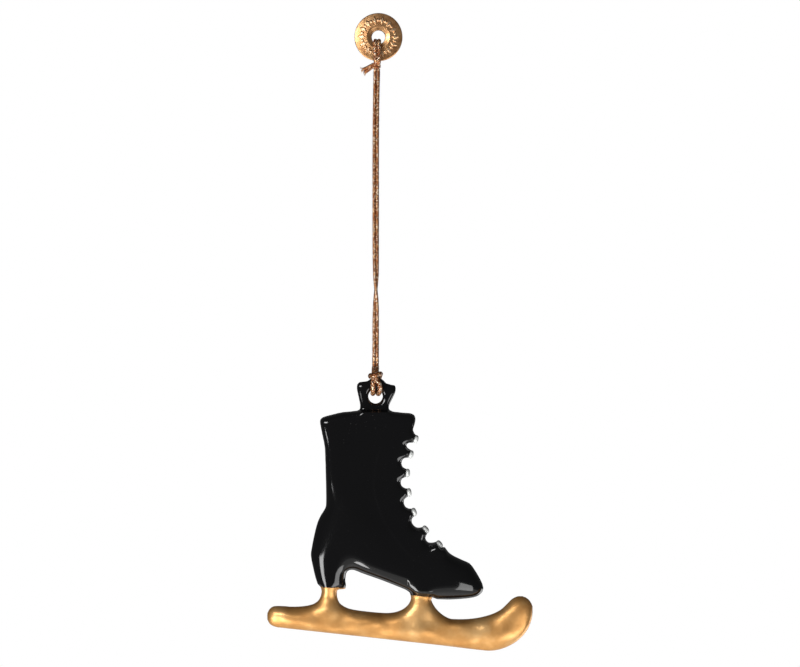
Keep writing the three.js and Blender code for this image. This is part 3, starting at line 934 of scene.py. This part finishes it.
def map_range(tree, value, low, high, to_low=0.0, to_high=1.0):
    """A value from low to high, moved to another range and held inside it."""
    return add_node(tree, "ShaderNodeMapRange", Value=value, From_Min=low, From_Max=high,
                    To_Min=to_low, To_Max=to_high).outputs[0]


def bump(tree, height, strength, depth_mm, **inputs):
    """A normal bent by a height."""
    return add_node(tree, "ShaderNodeBump", Height=height, Strength=strength,
                    Distance=depth_mm * MM, **inputs).outputs[0]


# %% [markdown]
# ### Black dipped enamel
#
# Cold enamel is a thick lacquer: almost black, with a clear and very smooth surface. Its gloss comes
# from a low roughness and an IOR near 1.5. Slow waves in the lacquer bend the reflections a little,
# and handling leaves a few fine dust specks that are rougher and greyer than the rest.

# %% Black enamel
black_enamel, tree, shader = new_material("black_dipped_enamel")
place = add_node(tree, "ShaderNodeTexCoord").outputs["Object"]
flow = noise(tree, place, 0.25, Detail=1.0)
specks = add_node(tree, "ShaderNodeTexVoronoi", Vector=place, Scale=1.1 / MM, Randomness=1.0)
speck_mask = map_range(tree, specks.outputs["Distance"], 0.05, 0.11, 1.0, 0.0)
patch_mask = map_range(tree, noise(tree, place, 0.09, Detail=3.0), 0.56, 0.68)
dust = add_node(tree, "ShaderNodeMath", {"operation": "MULTIPLY"}, _0=speck_mask, _1=patch_mask)
lacquer = ramp(tree, dust.outputs[0], (0.0, "#0B0B0C"), (1.0, "#2E2D2C"))
gloss = map_range(tree, dust.outputs[0], 0.0, 1.0, 0.09, 0.4)
set_inputs(shader, Base_Color=lacquer, Roughness=gloss, Normal=bump(tree, flow, 0.25, 0.03), IOR=1.5)

# %% [markdown]
# ### Gold paint
#
# The runner is brushed with gold paint: fine brass flakes in a satin binder. It reads as a metal
# with a broad, soft highlight. The flakes give a very fine grain, and the brush leaves slow
# changes in how dense they are.

# %% Gold paint
gold_paint, tree, shader = new_material("brushed_gold_paint")
place = add_node(tree, "ShaderNodeTexCoord").outputs["Object"]
flakes = noise(tree, place, 4.0, Detail=2.0)
strokes = noise(tree, place, 0.16, Detail=3.0, Roughness=0.6)
tone = ramp(tree, strokes, (0.3, "#BE8648"), (0.5, "#D09A5A"), (0.72, "#E6B678"))
satin = map_range(tree, strokes, 0.3, 0.7, 0.46, 0.35)
brushed = bump(tree, strokes, 0.8, 0.2, Normal=bump(tree, flakes, 0.35, 0.02))
set_inputs(shader, Base_Color=tone, Roughness=satin, Normal=brushed, Metallic=0.7)

# %% [markdown]
# ### White enamel
#
# The lace ends are dabbed on by hand with white enamel. It is a soft, slightly cool white, a
# little uneven where the brush left less of it.

# %% White enamel
white_enamel, tree, shader = new_material("white_dabbed_enamel")
place = add_node(tree, "ShaderNodeTexCoord").outputs["Object"]
dabs = noise(tree, place, 0.9, Detail=2.0)
cover = ramp(tree, dabs, (0.3, "#CFD2D0"), (0.65, "#ECEDEA"))
set_inputs(shader, Base_Color=cover, Roughness=0.32, Normal=bump(tree, dabs, 0.4, 0.08))

# %% [markdown]
# ### Stamped brass
#
# The tag is tumbled after stamping: the raised ornament is polished bright, and a copper-brown
# film stays on the ground round it. The mesh carries the ornament's height, so the film follows
# it exactly.

# %% Stamped brass
stamped_brass, tree, shader = new_material("stamped_tumbled_brass")
place = add_node(tree, "ShaderNodeTexCoord").outputs["Object"]
tumble = noise(tree, place, 1.4, Detail=3.0)
film = noise(tree, place, 0.35, Detail=2.0)
height = add_node(tree, "ShaderNodeAttribute", {"attribute_name": "relief"}).outputs["Fac"]
ground = ramp(tree, film, (0.35, "#C48C5C"), (0.65, "#E0AE7A"))
polish = add_node(tree, "ShaderNodeMix", {"data_type": "RGBA"}, Factor=height,
                  _6=ground, _7=linear("#F4CCA0"))
rough = map_range(tree, tumble, 0.3, 0.7, 0.26, 0.36)
dents = bump(tree, tumble, 0.16, 0.03)
set_inputs(shader, Base_Color=polish.outputs[2], Roughness=rough, Normal=dents, Metallic=0.9)

# %% [markdown]
# ### Metallic yarn
#
# The yarn is a flat strip of copper-coloured foil wound round a brown core. Each short length of
# foil gets its own random tone, from dark brown to copper, and its own small tilt, and the brightest
# lengths are painted glints: near-white colour that stands for light caught by the foil. Where a
# yarn lies low under its neighbours, its colour is darkened as painted shade in the braid's hollows.
# The pattern runs in the cord's own straightened space, which the mesh carries, so it follows every bend.

# %% Metallic yarn
metallic_yarn, tree, shader = new_material("copper_foil_yarn")
cord_place = add_node(tree, "ShaderNodeAttribute", {"attribute_name": "cord_place"}).outputs["Vector"]
yarn_height = add_node(tree, "ShaderNodeAttribute", {"attribute_name": "yarn_height"}).outputs["Fac"]
foil = add_node(tree, "ShaderNodeTexVoronoi", Vector=cord_place, Scale=4.2)
foil_tone = add_node(tree, "ShaderNodeSeparateColor", Color=foil.outputs["Color"])
# Dark brown to copper is the foil's random tone; the top of the ramp, #EDB77C to #FFF4E0, is painted glint.
foil_tone_and_painted_glints = ramp(tree, foil_tone.outputs[0], (0.0, "#4A2210"), (0.35, "#8E4C26"), (0.66, "#B06A38"),
                   (0.8, "#EDB77C"), (1.0, "#FFF4E0"))
# Painted shade: the colour is darkened to 0.4 where the yarn lies low between its neighbours.
painted_valley_shade = map_range(tree, yarn_height, 0.1, 0.6, 0.4, 1.0)
foil_with_painted_shade = add_node(tree, "ShaderNodeMix", {"data_type": "RGBA", "blend_type": "MULTIPLY"},
                  Factor=1.0, _6=foil_tone_and_painted_glints, _7=painted_valley_shade)
facet = bump(tree, foil_tone.outputs[1], 0.6, 0.08)
set_inputs(shader, Base_Color=foil_with_painted_shade.outputs[2], Roughness=0.34, Normal=facet, Metallic=0.6)

# %% [markdown]
# ## Finishes and bodies
#
# Each piece takes the material of its slot and stands in for the CAD nodes that it replaces, and all
# but the long strands ride on a CAD body. The long strands cross the joint where the cord twists, so
# they ride on no body: their placement is baked into their meshes, and they wind round each other as
# a real doubled cord does.

# %% Bodies, slots and replaced nodes
FINISHES = {
    "black_enamel": black_enamel,
    "gold_paint": gold_paint,
    "white_enamel": white_enamel,
    "tag_brass": stamped_brass,
    "metallic_cord": metallic_yarn,
}


def finish_piece(piece, slot, *nodes):
    """Gives a piece the material of its slot, and hides the CAD nodes that it stands for."""
    piece.data.materials.append(FINISHES[slot])
    if nodes:
        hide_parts(*nodes)
    return piece


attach(finish_piece(tag, "tag_brass", "tag_disc"), "tag")
for piece, *nodes in (
    (tag_loop_left, "cord_tag_loop"), (tag_loop_right,), (cord_knot, "cord_knot"),
    (tail_upper, "cord_tail_upper"), (tail_lower, "cord_tail_lower"), (fray_upper,), (fray_lower,),
):
    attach(finish_piece(piece, "metallic_cord", *nodes), "cord_top")
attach(finish_piece(hitch, "metallic_cord", "cord_hitch"), "hitch")
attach(finish_piece(boot, "black_enamel", "boot_casting"), "skate")
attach(finish_piece(blade, "gold_paint", "blade_casting"), "skate")
for number, lace_end in enumerate(lace_ends, 1):
    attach(finish_piece(lace_end, "white_enamel", f"lace_end_{number}"), "skate")

for strand, node, path, length in (
    (strand_left, "cord_strand_left", left_path, left_length),
    (strand_right, "cord_strand_right", right_path, right_length),
):
    finish_piece(strand, "metallic_cord", node)
    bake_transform(strand)

# %% [markdown]
# ## Light and surroundings
#
# Gloss shows what stands round an object, so each long highlight on the enamel is a softbox: a
# tall one to the left, a broad one to the right and one behind for the views from the back. They
# shine up from below the boot. A wide one beside the tag brightens its left half. The floor and
# the lower part of the room are pale, which shows on the faces that look down, and the rest of
# the room is dim, which keeps the enamel black.


# %% Lights
def softbox(name, middle, azimuth, elevation, size_mm, power, distance=750):
    """An area light that faces a middle: azimuth in degrees to the right of the camera, elevation up."""
    lamp = bpy.data.lights.new(name, "AREA")
    lamp.shape = "RECTANGLE"
    lamp.size, lamp.size_y = size_mm[0] * MM, size_mm[1] * MM
    lamp.energy = power
    a, e = np.radians([azimuth, elevation])
    away = distance * np.array([np.sin(a) * np.cos(e), -np.cos(a) * np.cos(e), np.sin(e)])
    box = bpy.data.objects.new(name, lamp)
    box.location = (np.array(middle) + away) * MM
    box.rotation_euler = (np.arctan2(np.hypot(away[0], away[1]), away[2]), 0, np.arctan2(away[0], -away[1]))
    bpy.context.scene.collection.objects.link(box)


BOOT_MIDDLE = (0, 0, -125)
TAG_MIDDLE = (0, 0, 0)
softbox("left_softbox", BOOT_MIDDLE, -41, -29, (230, 590), 4.6)
softbox("right_softbox", BOOT_MIDDLE, 34, -30, (400, 430), 2.4)
softbox("rear_softbox", BOOT_MIDDLE, 130, -28, (420, 420), 1.5)
softbox("tag_softbox", TAG_MIDDLE, -31, 9, (420, 150), 2.6)

# %% Floor and world
FLOOR_REACH = 1100.0
FLOOR_HEIGHT = -900.0
floor_mesh = bpy.data.meshes.new("floor")
floor_corners = np.array([(-1, -1, 0), (1, -1, 0), (1, 1, 0), (-1, 1, 0)]) * FLOOR_REACH
floor_corners[:, 2] = FLOOR_HEIGHT
floor_mesh.from_pydata((floor_corners * MM).tolist(), [], [(0, 1, 2, 3)])
floor = bpy.data.objects.new("floor", floor_mesh)
bpy.context.scene.collection.objects.link(floor)
floor_material, tree, shader = new_material("pale_paper")
paper = add_node(tree, "ShaderNodeTexNoise", Scale=40.0)
paper_colour = ramp(tree, paper.outputs["Fac"], (0.3, "#E9E8E6"), (0.7, "#EFEEEC"))
set_inputs(shader, Base_Color=paper_colour, Roughness=0.9, Emission_Color=linear("#F4F3F1"),
           Emission_Strength=0.6)
floor_mesh.materials.append(floor_material)

world = bpy.data.worlds.new("studio")
bpy.context.scene.world = world
world.use_nodes = True
tree = world.node_tree
direction = add_node(tree, "ShaderNodeTexCoord").outputs["Generated"]
up = add_node(tree, "ShaderNodeSeparateXYZ", Vector=direction).outputs["Z"]
room = ramp(tree, map_range(tree, up, -1.0, 1.0), (0.0, "#B4B4B4"), (0.18, "#A0A0A0"), (0.3, "#4C4C4C"),
            (0.5, "#4A4A4A"), (1.0, "#505050"))
seen = add_node(tree, "ShaderNodeLightPath").outputs["Is Camera Ray"]
backdrop = add_node(tree, "ShaderNodeMix", {"data_type": "RGBA"}, Factor=seen, _6=room, _7=linear("#FFFFFF"))
set_inputs(tree.nodes["Background"], Color=backdrop.outputs[2])
bpy.context.scene.view_settings.view_transform = "Standard"
